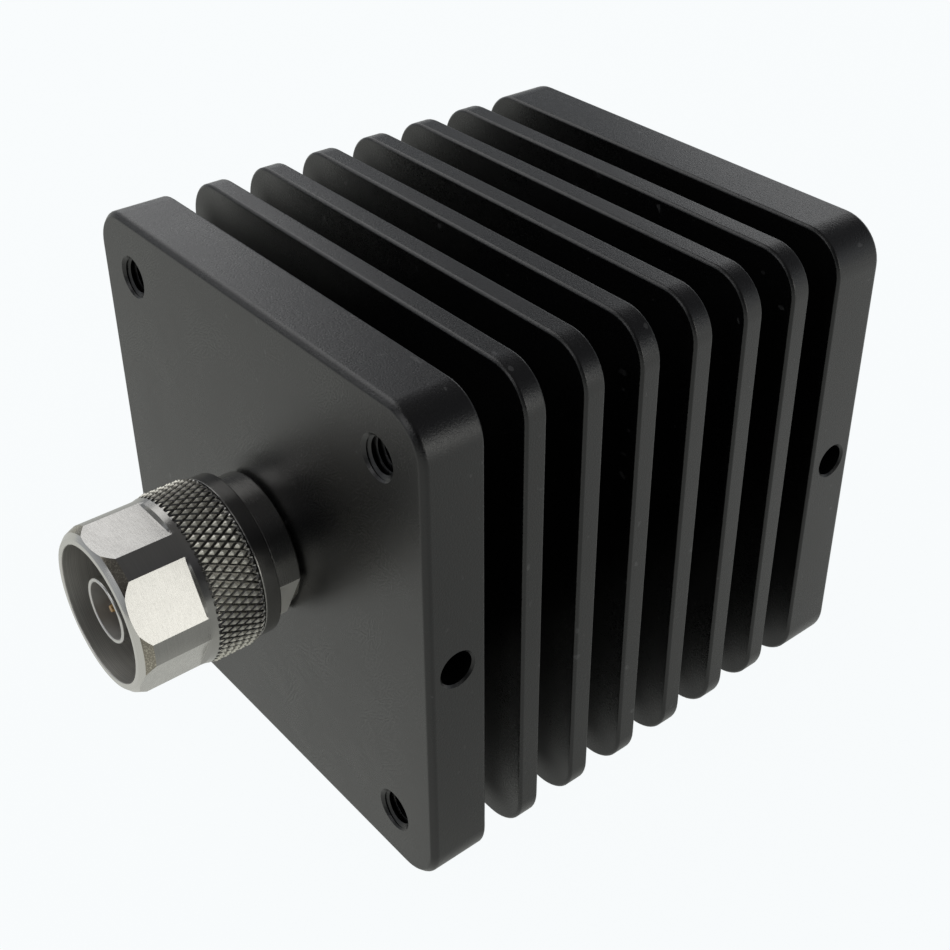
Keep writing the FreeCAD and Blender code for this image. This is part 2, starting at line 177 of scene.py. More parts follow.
class PortSizes(bpy.types.PropertyGroup):
    """Sizes that the plug and the jack share, and their own."""

    collar: length("Collar", "Length of the wrench collar", 3.5)
    collar_flats: length("Collar flats", "Distance from the axis to a wrench flat", 8.0)
    collar_bevel: length("Collar bevel", "Bevel of the collar against the heat sink", 0.5)
    collar_turn: angle("Collar turn", "Angle of the first wrench flat", -27.0)
    spigot: length("Spigot", "Radius of the spigot in the heat sink's bore", 7.98)
    bead: length("Bead bore", "Radius of the bore that holds the bead", 5.09)
    bead_depth: length("Bead depth", "Depth of the bead's seat outside the heat sink", 2.0)
    neck: length("Neck", "Radius of the neck that the nut turns on", 7.0)
    contact: length("Contact", "Outer radius of the plug's outer contact", 4.0)
    line: length("Line", "Inner radius of the outer conductor", 3.5)
    ring_seat: length("Ring seat", "Radius of the snap ring's groove", 6.3)
    ring_front: length("Ring front", "Distance of the ring's groove from the neck's face", 2.55)
    ring_width: length("Ring width", "Width of the ring's groove", 1.05)
    thread_major: length("Jack thread", "Radius at the crests of the jack's thread", 7.94)
    thread_minor: length("Jack thread root", "Radius at the roots of the jack's thread", 7.36)
    thread_pitch: length("Coupling pitch", "Pitch of the coupling thread, 24 to the inch", 25.4 / 24)
    thread_relief: length("Thread relief", "Plain length between collar and thread", 1.3)
    jack_bevel: length("Jack bevel", "Bevel at the end of the jack", 0.6)
    socket: length("Socket", "Radius of the jack's socket", 4.1)
    socket_depth: length("Socket depth", "Depth of the jack's socket", 9.2)


class FinishSettings(bpy.types.PropertyGroup):
    """Colours and grains of the finishes."""

    black: colour("Anodised black", "heat sink", (0.0022, 0.0022, 0.0024))
    black_roughness: factor("Anodised roughness", "Roughness of the heat sink", 0.29)
    nickel: colour("Nickel", "machined pieces", (0.60, 0.59, 0.565))
    nickel_roughness: factor("Nickel roughness", "Roughness of the machined pieces", 0.27)
    bronze: colour("White bronze", "outer contact", (0.80, 0.79, 0.77))
    gold: colour("Gold", "centre conductors", (0.50, 0.31, 0.13))
    copper: colour("Copper", "chip's holder", (0.72, 0.38, 0.25))
    silver: colour("Silver", "ribbons", (0.86, 0.85, 0.82))
    spring: colour("Spring steel", "snap ring", (0.40, 0.40, 0.41))
    oxide: colour("Black oxide", "lock screws", (0.02, 0.02, 0.021))
    bead: colour("Bead", "beads", (0.86, 0.86, 0.83))
    rubber: colour("Rubber", "gasket", (0.03, 0.03, 0.03))
    ceramic: colour("Ceramic", "chip and its lid", (0.86, 0.86, 0.83))
    floor: colour("Floor", "floor", (0.93, 0.95, 0.96))


class StageSettings(bpy.types.PropertyGroup):
    """Camera and light."""

    camera_place: bpy.props.FloatVectorProperty(
        name="Camera place", description="Where the camera stands",
        default=(0.124705, -0.067877, 0.107026), size=3, unit="LENGTH"
    )
    azimuth: angle("Azimuth", "Direction of the view round the part", 49.117)
    elevation: angle("Elevation", "Height of the view above the horizon", 32.846)
    roll: angle("Roll", "Turn of the camera about its line of sight", 0.756)
    focal: bpy.props.FloatProperty(name="Focal length", description="In millimetres", default=55.63, min=1.0)
    shift: bpy.props.FloatVectorProperty(
        name="Lens shift", description="Offset of the cropped picture, in picture widths",
        default=(-0.0457, -0.0579), size=2
    )
    sky: factor("Sky", "Level of the light from all round", 0.85, 5.0)


class Value:
    """A number socket, on which a material's sums are written as Python expressions."""

    def __init__(self, nodes, socket):
        self.nodes = nodes
        self.socket = socket

    def maths(self, operation, *terms):
        node = self.nodes.node("Math", {"operation": operation}, dict(enumerate(terms)))
        return Value(self.nodes, node.outputs[0])

    def __add__(self, other):
        return self.maths("ADD", self, other)

    def __radd__(self, other):
        return self.maths("ADD", other, self)

    def __sub__(self, other):
        return self.maths("SUBTRACT", self, other)

    def __rsub__(self, other):
        return self.maths("SUBTRACT", other, self)

    def __mul__(self, other):
        return self.maths("MULTIPLY", self, other)

    def __rmul__(self, other):
        return self.maths("MULTIPLY", other, self)

    def root(self):
        return self.maths("SQRT", self)

    def size(self):
        return self.maths("ABSOLUTE", self)

    def above(self, other):
        return self.maths("GREATER_THAN", self, other)

    def below(self, other):
        return self.maths("LESS_THAN", self, other)

    def step(self, low, high):
        """0 below low, 1 above high and a smooth rise between them."""
        inputs = {"Value": self, "From Min": low, "From Max": high}
        node = self.nodes.node("MapRange", {"interpolation_type": "SMOOTHSTEP"}, inputs)
        return Value(self.nodes, node.outputs["Result"])


class Nodes:
    """The node tree of a material or of the world."""

    def __init__(self, owner):
        owner.use_nodes = True
        self.tree = owner.node_tree
        self.tree.nodes.clear()

    def node(self, kind, settings=None, inputs=None):
        """A shader node of a kind, with its settings made first and then its sockets set or linked."""
        node = self.tree.nodes.new("ShaderNode" + kind)
        for name, value in (settings or {}).items():
            if name == "stops":
                self.set_stops(node.color_ramp, value)
            else:
                setattr(node, name, value)
        for name, value in (inputs or {}).items():
            self.feed(node.inputs[name], value)
        return node

    def set_stops(self, ramp, stops):
        while len(ramp.elements) < len(stops):
            ramp.elements.new(1.0)
        for element, (place, shade) in zip(ramp.elements, stops):
            element.position = place
            element.color = (*shade, 1.0)

    def feed(self, socket, value):
        if isinstance(value, Value):
            value = value.socket
        if isinstance(value, bpy.types.Node):
            value = value.outputs[0]
        if isinstance(value, bpy.types.NodeSocket):
            self.tree.links.new(value, socket)
        elif socket.type == "RGBA" and len(value) == 3:
            socket.default_value = (*value, 1.0)
        else:
            socket.default_value = value

    def value(self, node, output=0):
        return Value(self, node.outputs[output])

    def blend(self, share, first, second):
        """A colour between two."""
        return self.node("Mix", {"data_type": "RGBA"}, {0: share, 6: first, 7: second}).outputs[2]

    def mix(self, share, first, second):
        """A shader between those of two nodes."""
        return self.node("MixShader", {}, {0: share, 1: first, 2: second})

    def locate(self, kind):
        """The place of a point in a kind of coordinates, and its three numbers."""
        place = self.node("TexCoord").outputs[kind]
        axes = self.node("SeparateXYZ", {}, {0: place})
        return place, [self.value(axes, axis) for axis in "XYZ"]


class Finish(Nodes):
    """A material with a principled shader, and the place of a point on its object."""

    def __init__(self, name, metal=0.0, **uniform):
        self.material = bpy.data.materials.new(name)
        super().__init__(self.material)
        inputs = {"Metallic": metal}
        inputs.update({key.replace("_", " "): value for key, value in uniform.items()})
        self.surface = self.node("BsdfPrincipled", {}, inputs)
        self.result = self.node("OutputMaterial", {}, {"Surface": self.surface})
        self.place, (self.across, self.along, self.up) = self.locate("Object")

    def radius(self):
        """Distance from the signal axis."""
        return (self.across * self.across + self.up * self.up).root()

    def reach(self, turn):
        """Distance from the axis in the direction of an angle, on either side of it."""
        return (self.across * math.cos(turn) + self.up * math.sin(turn)).size()

    def vector(self, x, y, z):
        return self.node("CombineXYZ", {}, {0: x, 1: y, 2: z})

    def noise(self, grain, detail, roughness, place=None):
        """Noise from 0 to 1 whose grain is a length in metres."""
        inputs = {"Vector": place or self.place, "Scale": 1.0 / grain}
        inputs.update({"Detail": detail, "Roughness": roughness})
        return self.value(self.node("TexNoise", {}, inputs))

    def tone(self, share, shade, low, high):
        """A colour between two levels of a shade."""
        return self.blend(share, [channel * low for channel in shade], [channel * high for channel in shade])

    def set(self, **links):
        for name, value in links.items():
            self.feed(self.surface.inputs[name.replace("_", " ")], value)

    def bump(self, height, depth):
        """Raise the surface by a height from 0 to 1 times a depth in metres."""
        self.set(Normal=self.node("Bump", {}, {"Height": height, "Distance": depth, "Strength": 1.0}))


def point(turn, station, radius):
    """A point at an angle round the signal axis."""
    return Vector((radius * math.cos(turn), station, radius * math.sin(turn)))


def ring(columns, station, radius):
    """Points at a station, each column at its angle. The radius is one number or one for each column."""
    radii = radius if isinstance(radius, list) else [radius] * len(columns)
    return [point(turn, station, far) for turn, far in zip(columns, radii)]


def even_columns(amount, start=0.0):
    return [start + TURN * index / amount for index in range(amount)]


def flat_columns(flats, first, half, on_flat, between):
    """Columns round a turned piece with milled flats, and the angle of each from its flat's middle.

    The columns of a flat end exactly on its edges. Between two flats the angle is None.
    """
    columns, offsets = [], []
    sector = TURN / flats
    for flat in range(flats):
        middle = first + flat * sector
        for index in range(on_flat + 1):
            offset = half * (2.0 * index / on_flat - 1.0)
            columns.append(middle + offset)
            offsets.append(offset)
        for index in range(1, between):
            columns.append(middle + half + (sector - 2.0 * half) * index / between)
            offsets.append(None)
    return columns, offsets


def flat_radii(offsets, distance, radius):
    """Radius of each column where flats at a distance cut a turned surface."""
    return [radius if offset is None else min(radius, distance / math.cos(offset)) for offset in offsets]


def rounded(corners):
    """A section with its corners rounded. Each corner is a station, a radius and a rounding.

    A corner gives the same number of points in every column, so that their sections match.
    """
    steps = 3
    points = []
    last = len(corners) - 1
    for index, (station, radius, rounding) in enumerate(corners):
        here = Vector((station, radius))
        if rounding == 0.0 or index in (0, last):
            points.append(here)
            continue
        before = Vector(corners[index - 1][:2]) - here
        after = Vector(corners[index + 1][:2]) - here
        reach = min(rounding, before.length * 0.45, after.length * 0.45)
        start = here + (before.normalized() * reach if before.length else before)
        end = here + (after.normalized() * reach if after.length else after)
        for step in range(steps + 1):
            share = step / steps
            points.append(start.lerp(here, share).lerp(here.lerp(end, share), share))
    return points


class Shell:
    """A closed skin that is built up from rings of points."""

    def __init__(self):
        self.mesh = bmesh.new()

    def skin(self, rings, shift=0, smooth=True):
        """Join rings with faces. At the seam a thread's rows meet those of a shift further on."""
        grid = [[self.mesh.verts.new(place) for place in row] for row in rings]
        last = len(grid) - 1
        width = len(grid[0])
        for row in range(last):
            for column in range(width):
                following = column + 1
                low, high = row, row + 1
                if following == width:
                    following = 0
                    low, high = min(row + shift, last), min(row + 1 + shift, last)
                corners = [grid[row][column], grid[low][following], grid[high][following]]
                corners.append(grid[row + 1][column])
                if len(set(corners)) == len(corners):
                    self.mesh.faces.new(corners).smooth = smooth

    def turned(self, columns, section):
        """Skin a section of stations and radii all round."""
        self.skin([ring(columns, station, radius) for station, radius in section])

    def milled(self, columns, sections):
        """Skin sections that differ from column to column."""
        self.skin([[point(turn, *place) for turn, place in zip(columns, row)] for row in zip(*sections)])

    def thread(self, amount, front, rear, pitch, root, crest, profile):
        """Skin a right-handed thread between two stations, which fades out at both ends."""
        shift = len(profile)
        turns = math.ceil((rear - front) / pitch) + 2
        rows = []
        for row in range(turns * shift + 1):
            place, height = profile[row % shift]
            base = front - pitch + (row // shift + place) * pitch
            points = []
            for column in range(amount):
                station = min(max(base + pitch * column / amount, front), rear)
                fade = min(1.0, 2.0 * min(station - front, rear - station) / pitch)
                radius = root + (crest - root) * height * fade
                points.append(point(-TURN * column / amount, station, radius))
            rows.append(points)
        self.skin(rows, shift=shift)

    def coupling_thread(self, columns, front, rear, pitch, root, crest):
        """Add a coupling's thread, whose rows meet the turned surfaces beside it at their columns."""
        part = Shell()
        part.thread(len(columns), front, rear, pitch, root, crest, COUPLING_THREAD)
        start = Matrix.Rotation(-columns[0], 3, "Y")
        bmesh.ops.rotate(part.mesh, cent=Vector(), matrix=start, verts=part.mesh.verts)
        self.join(part)

    def join(self, part):
        """Take in another shell's skin."""
        data = bpy.data.meshes.new("part")
        part.mesh.to_mesh(data)
        part.mesh.free()
        self.mesh.from_mesh(data)
        bpy.data.meshes.remove(data)

    def place(self, part, move):
        """Close another shell, move it and take it in."""
        part.close()
        bmesh.ops.transform(part.mesh, matrix=move, verts=part.mesh.verts)
        self.join(part)

    def rod(self, columns, section):
        """Skin a turned solid with both its ends."""
        self.turned(columns, section)
        self.cap(ring(columns, *section[0]))
        self.cap(ring(columns, *section[-1]))

    def cap(self, points):
        """Close an end with a fan of triangles round its middle."""
        middle = self.mesh.verts.new(sum(points, Vector()) / len(points))
        edge = [self.mesh.verts.new(place) for place in points]
        for index, vertex in enumerate(edge):
            self.mesh.faces.new([vertex, edge[(index + 1) % len(edge)], middle])

    def close(self):
        """Merge the rings that meet and turn all faces outwards."""
        bmesh.ops.remove_doubles(self.mesh, verts=self.mesh.verts, dist=MERGE)
        bmesh.ops.dissolve_degenerate(self.mesh, edges=self.mesh.edges, dist=MERGE)
        bmesh.ops.recalc_face_normals(self.mesh, faces=self.mesh.faces)

    def object(self, name):
        self.close()
        data = bpy.data.meshes.new(name)
        self.mesh.to_mesh(data)
        self.mesh.free()
        thing = bpy.data.objects.new(name, data)
        bpy.context.scene.collection.objects.link(thing)
        return thing


def crease(thing, degrees):
    """Mark the edges that are sharper than an angle, and shade the rest smoothly."""
    mesh = bmesh.new()
    mesh.from_mesh(thing.data)
    limit = math.radians(degrees)
    for edge in mesh.edges:
        faces = edge.link_faces
        edge.smooth = len(faces) == 2 and faces[0].normal.angle(faces[1].normal, 0.0) < limit
    mesh.to_mesh(thing.data)
    mesh.free()
    weights = thing.modifiers.new("even_normals", "WEIGHTED_NORMAL")
    weights.keep_sharp = True


def dress(thing, body, finish, node, degrees=24.0):
    """Give a piece its creases, finish and body, and let it stand for a CAD node."""
    crease(thing, degrees)
    thing.data.materials.append(finish)
    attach(thing, body)
    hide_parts(node)


def anodised(settings, sizes, low, high):
    """Black anodised aluminium with a fine blasted grain, which shines less between the fins as painted
    shade in the gaps.
    """
    finish = Finish("black_anodised", Specular_IOR_Level=0.66)
    grain = finish.noise(0.00022, 3.0, 0.65)
    cloud = finish.noise(0.009, 3.0, 0.5)
    speck = finish.noise(0.00035, 1.0, 0.4).step(0.66, 0.78)
    dust = finish.noise(0.0011, 0.0, 0.0).step(0.80, 0.86)
    shade = grain.step(0.3, 0.75) * 0.55 + cloud * 0.25 + speck * 0.5
    base = finish.tone(shade, settings.black, 0.55, 2.1)
    finish.set(Base_Color=finish.blend(dust * 0.35, base, (0.16, 0.16, 0.16)))
    finish.set(Roughness=settings.black_roughness + (cloud - 0.5) * 0.10 + (grain - 0.5) * 0.16)
    finish.bump(grain, 0.00003)
    # Painted shade in the gaps between the fins: masks of how deep a point lies in a gap, and of the stretch
    # between the end plates
    rim = high.x - sizes.edge_break
    inside = rim - sizes.gap
    depth = (1.0 - finish.reach(0.0).step(inside, rim)) * (1.0 - finish.reach(TURN / 4).step(inside, rim))
    front, rear = low.y + sizes.plate - END_MARGIN, high.y - sizes.plate + END_MARGIN
    between = finish.along.above(front) * finish.along.below(rear)
    # Painted shade: between the fins the same black gets a rougher, far less shiny shader, so that the gaps
    # look darker
    shaded_gap_inputs = {"Base Color": settings.black, "Roughness": 0.7, "Specular IOR Level": 0.15}
    shaded_gap_walls = finish.node("BsdfPrincipled", {}, shaded_gap_inputs)
    finish.feed(finish.result.inputs["Surface"], finish.mix(depth * between * 0.85, finish.surface, shaded_gap_walls))
    return finish.material


def machined(name, shade, roughness, level, ports):
    """Turned and plated metal with rings of fine tool marks, painted darker than its plating as shade.
    Wrench flats are milled and painted paler, as light.
    """
    finish = Finish(name, metal=1.0)
    radius = finish.radius()
    marks = finish.noise(0.00006, 3.0, 0.6, finish.vector(radius, finish.along, 0.0))
    cloud = finish.noise(0.0028, 3.0, 0.55)
    # Painted shade: turned faces are darker than the plating, by a level given for each piece
    turned = finish.tone(marks * 0.6 + cloud * 0.4, shade, level * 0.8, level)
    flat = finish.reach(ports.collar_turn).above(ports.collar_flats - WRENCH_MARGIN)
    inside = radius.below(ports.line + BORE_MARGIN)
    rough = roughness + (cloud - 0.5) * 0.12 + (marks - 0.5) * 0.10 + flat * 0.45 + inside * 0.30
    # Painted light: the wrench flats are paler than the plating itself
    finish.set(Base_Color=finish.blend(flat, turned, [channel * 1.3 for channel in shade]), Roughness=rough)
    finish.bump(marks, 0.0000012)
    return finish.material


def nut_metal(settings, sizes, low):
    """The nut's plating, with milled grain on the flats and tool rings on what is turned.

    The cone is dark with worn specks, the knurl is matt, warm and painted paler, with a painted highlight on
    its peaks, and the bore shows the steps of the tool on a wall painted paler, as light. What is turned is
    painted darker, as shade.
    """
    finish = Finish("nut_nickel", metal=1.0)
    radius, along = finish.radius(), finish.along
    rings = finish.noise(0.00007, 3.0, 0.6, finish.vector(radius, along, 0.0))
    cloud = finish.noise(0.0022, 4.0, 0.6)
    streaks = finish.noise(0.00011, 3.0, 0.7, finish.vector(finish.across * 0.10, along, finish.up * 0.10))
    stipple = finish.noise(0.00028, 2.0, 0.7)
    brushed = streaks * 0.6 + stipple * 0.4
    bore = radius.below(sizes.mouth + BORE_MARGIN)
    turns = [sizes.flat_turn + pair * TURN / 6 for pair in range(3)]
    flat = sum(finish.reach(turn).above(sizes.flats - FLAT_MARGIN) for turn in turns)
    flat = flat.above(0.5) * along.below(low.y + sizes.flat_length - sizes.shoulder + END_MARGIN)
    front = along.below(low.y + sizes.edge)
    cone = (1.0 - front) * (1.0 - bore) * along.below(low.y + sizes.slope)
    knurled = radius.above(sizes.ring_high + KNURL_MARGIN)
    peak = radius.step(sizes.body, sizes.body + sizes.knurl_depth)
    marks = flat * brushed + (1.0 - flat) * rings
    tool = finish.noise(0.00008, 1.0, 0.5, finish.vector(0.0, along, 0.0)).step(0.30, 0.70)
    speck = finish.noise(0.00016, 2.0, 0.6).step(0.48, 0.66)
    nickel = settings.nickel
    milled = finish.tone((marks - 0.5) * 1.5 + cloud * 0.5 + 0.35, nickel, 0.50, 1.18)
    # Painted shade: what is turned is darker than the plating, standing in for the dark surroundings it
    # reflects
    turned = finish.tone(marks, nickel, 0.45, 0.72)
    # Painted light: the bore's wall is paler than the plating, so that the recess looks lit
    painted_light_bore_wall = finish.tone(tool, nickel, 0.90, 1.45)
    faced = finish.tone(rings, nickel, 0.95, 1.35)
    rubbed = finish.blend(speck, (0.26, 0.235, 0.185), (0.60, 0.56, 0.46))
    # Painted light and highlight: the knurl is paler than the plating, palest on the peaks of its diamonds
    painted_knurl_light = finish.blend(peak, (0.80, 0.77, 0.66), (1.0, 0.98, 0.88))
    shade = finish.blend(bore, finish.blend(front, turned, faced), painted_light_bore_wall)
    shade = finish.blend(flat, finish.blend(cone * 0.8, shade, rubbed), milled)
    finish.set(Base_Color=finish.blend(knurled, shade, painted_knurl_light))
    rough = settings.nickel_roughness + (cloud - 0.5) * 0.12 + (marks - 0.5) * 0.16
    rough = rough + bore * 0.26 + knurled * 0.16 - (1.0 - flat) * 0.06
    finish.set(Roughness=rough, Metallic=1.0 - knurled * 0.45)
    finish.bump(marks, 0.000003)
    return finish.material


def plain_metal(name, shade, roughness):
    """Plated or bare metal with a slight variation."""
    finish = Finish(name, metal=1.0)
    cloud = finish.noise(0.0004, 3.0, 0.6)
    finish.set(Base_Color=finish.tone(cloud, shade, 0.82, 1.0), Roughness=roughness + (cloud - 0.5) * 0.12)
    finish.bump(cloud, 0.000002)
    return finish.material


def plain_solid(name, shade, roughness):
    """Plastic, rubber or ceramic with a fine surface."""
    finish = Finish(name, Specular_IOR_Level=0.5)
    cloud = finish.noise(0.0003, 3.0, 0.6)
    finish.set(Base_Color=finish.tone(cloud, shade, 0.88, 1.0), Roughness=roughness + (cloud - 0.5) * 0.10)
    finish.bump(cloud, 0.000006)
    return finish.material


def outline_ring(half, corner, inset, station):
    """A rounded square round the signal axis, with an inset from its full size."""
    steps = 12
    radius = max(corner - inset, 0.0)
    flat = half - corner
    places = []
    for quarter in range(4):
        turn = quarter * TURN / 4
        spin = Matrix.Rotation(turn, 2)
        for step in range(steps):
            bend = turn + TURN / 4 * step / steps
            places.append(spin @ Vector((flat, flat)) + Vector((math.cos(bend), math.sin(bend))) * radius)
        start = spin @ Vector((flat, flat + radius))
        end = spin @ Vector((-flat, flat + radius))
        places += [start.lerp(end, step / steps) for step in range(steps)]
    return [Vector((place.x, station, place.y)) for place in places]


def comb(shell, sizes, low, high):
    """Skin the heat sink: end plates and fins on a square core, with broken edges and a through bore."""
    half = (high.x - low.x) / 2
    edge = sizes.edge_break
    pitch = sizes.fin + sizes.gap
    plates = [(low.y, low.y + sizes.plate, sizes.end_bevel, edge)]
    for fin in range(sizes.fins):
        front = low.y + sizes.plate + sizes.gap + fin * pitch
        plates.append((front, front + sizes.fin, edge, edge))
    plates.append((high.y - sizes.plate, high.y, edge, sizes.end_bevel))
    columns = bore_columns()
    rings = [ring(columns, low.y, sizes.bore)]
    for index, (front, rear, front_edge, rear_edge) in enumerate(plates):
        if index:
            rings.append(outline_ring(sizes.core / 2, 0.0, 0.0, front))
        corners = [
            (front, front_edge + edge, 0.0),
            (front, front_edge, front_edge * 0.5),
            (front + front_edge, 0.0, front_edge * 0.5),
            (rear - rear_edge, 0.0, rear_edge * 0.5),
            (rear, rear_edge, rear_edge * 0.5),
            (rear, rear_edge + edge, 0.0),
        ]
        for station, inset in rounded(corners):
            rings.append(outline_ring(half, sizes.corner, inset, station))
        if index < len(plates) - 1:
            rings.append(outline_ring(sizes.core / 2, 0.0, 0.0, rear))
    rings += [ring(columns, station, sizes.bore) for station in (high.y, low.y)]
    shell.skin(rings)


def bore_columns():
    """Angles round the bore that match the points of an outline ring."""
    return [math.atan2(place.z, place.x) for place in outline_ring(1.0, 0.3, 0.0, 0.0)]


def thread_cutter(shell, sizes, across, up, front, rear):
    """A threaded rod that cuts a tapped hole."""
    part = Shell()
    columns = [-turn for turn in even_columns(48)]
    minor = sizes.hole_minor
    part.thread(len(columns), front, rear, sizes.hole_pitch, minor, sizes.hole_major, TAPPED_THREAD)
    for station in (front, rear):
        part.cap(ring(columns, station, minor))
    shell.place(part, Matrix.Translation((across, 0.0, up)))


def cone_cutter(shell, sizes, across, up, station, outward):
    """A cone that countersinks a hole's mouth."""
    part = Shell()
    wide, narrow = sizes.hole_sink, sizes.hole_minor
    depth = outward * (wide - narrow)
    part.rod(even_columns(48), [(station + depth, 2.0 * wide - narrow), (station - depth, narrow)])
    shell.place(part, Matrix.Translation((across, 0.0, up)))


def side_cutter(shell, sizes, station, surface):
    """A rod along X that cuts a lock screw's hole, with a small bevel at its mouth."""
    part = Shell()
    bevel, hole = sizes.edge_break, sizes.side_hole
    part.rod(even_columns(64), [(surface + bevel, hole + 2.0 * bevel), (surface - bevel, hole), (0.0, hole)])
    shell.place(part, Matrix.Translation((0.0, station, 0.0)) @ Matrix.Rotation(-TURN / 4, 4, "Z"))


def cut(thing, shell):
    """Take a shell's solids away from an object."""
    tool = shell.object("cutter")
    step = thing.modifiers.new("cut", "BOOLEAN")
    step.operation = "DIFFERENCE"
    step.solver = "EXACT"
    step.object = tool
    graph = bpy.context.evaluated_depsgraph_get()
    graph.update()
    result = bpy.data.meshes.new_from_object(thing.evaluated_get(graph))
    thing.modifiers.clear()
    old = thing.data
    thing.data = result
    bpy.data.meshes.remove(old)
    tool_data = tool.data
    bpy.data.objects.remove(tool)
    bpy.data.meshes.remove(tool_data)


class ATTENUATOR_OT_heat_sink(bpy.types.Operator):
    """Build the finned heat sink with its tapped and countersunk holes."""

    bl_idname = "attenuator.heat_sink"
    bl_label = "Heat sink"

    def execute(self, context):
        sizes = context.scene.attenuator_sink
        low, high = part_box("heat_sink")
        body = Shell()
        comb(body, sizes, low, high)
        sink = body.object("heat_sink_body")
        reach = sizes.hole_spacing / 2
        spare = 1.5 * sizes.hole_pitch
        inner_faces = low.y + sizes.plate, high.y - sizes.plate
        threads, cones, sides = Shell(), Shell(), Shell()
        for across in (-reach, reach):
            for up in (-reach, reach):
                thread_cutter(threads, sizes, across, up, low.y - spare, inner_faces[0] + spare)
                thread_cutter(threads, sizes, across, up, inner_faces[1] - spare, high.y + spare)
                cone_cutter(cones, sizes, across, up, low.y, -1)
                cone_cutter(cones, sizes, across, up, high.y, 1)
        for station in (low.y + sizes.plate / 2, high.y - sizes.plate / 2):
            side_cutter(sides, sizes, station, high.x)
        for cutters in (threads, cones, sides):
            cut(sink, cutters)
        for face in sink.data.polygons:
            face.use_smooth = True
        finish = anodised(context.scene.attenuator_finish, sizes, low, high)
        dress(sink, ATTENUATOR, finish, "heat_sink")
        return {"FINISHED"}


def knurl_class(column, row):
    """Steps from the middle of the nearest diamond, from 0 on its peak to 2 in the groove."""
    across = min(column % 4, 4 - column % 4)
    along = min(row % 4, 4 - row % 4)
    return min(across + along, 4 - across - along)


def knurl(shell, columns, sizes, front, rear, top):
    """Skin the knurled band with pyramids whose creases follow the two families of grooves."""
    heights = (1.0, 0.60, 0.0)
    rows = sizes.knurl_rows * 4
    floor = top - sizes.knurl_depth
    shoulder = floor + sizes.knurl_depth * 0.25
    rings = []
    for row in range(rows + 1):
        radii = []
        for column in range(len(columns)):
            radius = floor + sizes.knurl_depth * heights[knurl_class(column, row)]
            radii.append(min(radius, shoulder) if row in (0, rows) else radius)
        rings.append(ring(columns, front + (rear - front) * row / rows, radii))
    grid = [[shell.mesh.verts.new(place) for place in points] for points in rings]
    for row in range(rows):
        for column in range(len(columns)):
            square = ((column, row), (column + 1, row), (column + 1, row + 1), (column, row + 1))
            corners = [grid[along][across % len(columns)] for across, along in square]
            kinds = [knurl_class(*place) for place in square]
            straight = kinds[0] == kinds[2] and (kinds[1] != kinds[3] or kinds[0] == 2)
            first = 0 if straight else 1
            for pick in ((0, 1, 2), (0, 2, 3)):
                face = shell.mesh.faces.new([corners[(first + index) % 4] for index in pick])
                face.smooth = False
    return rings


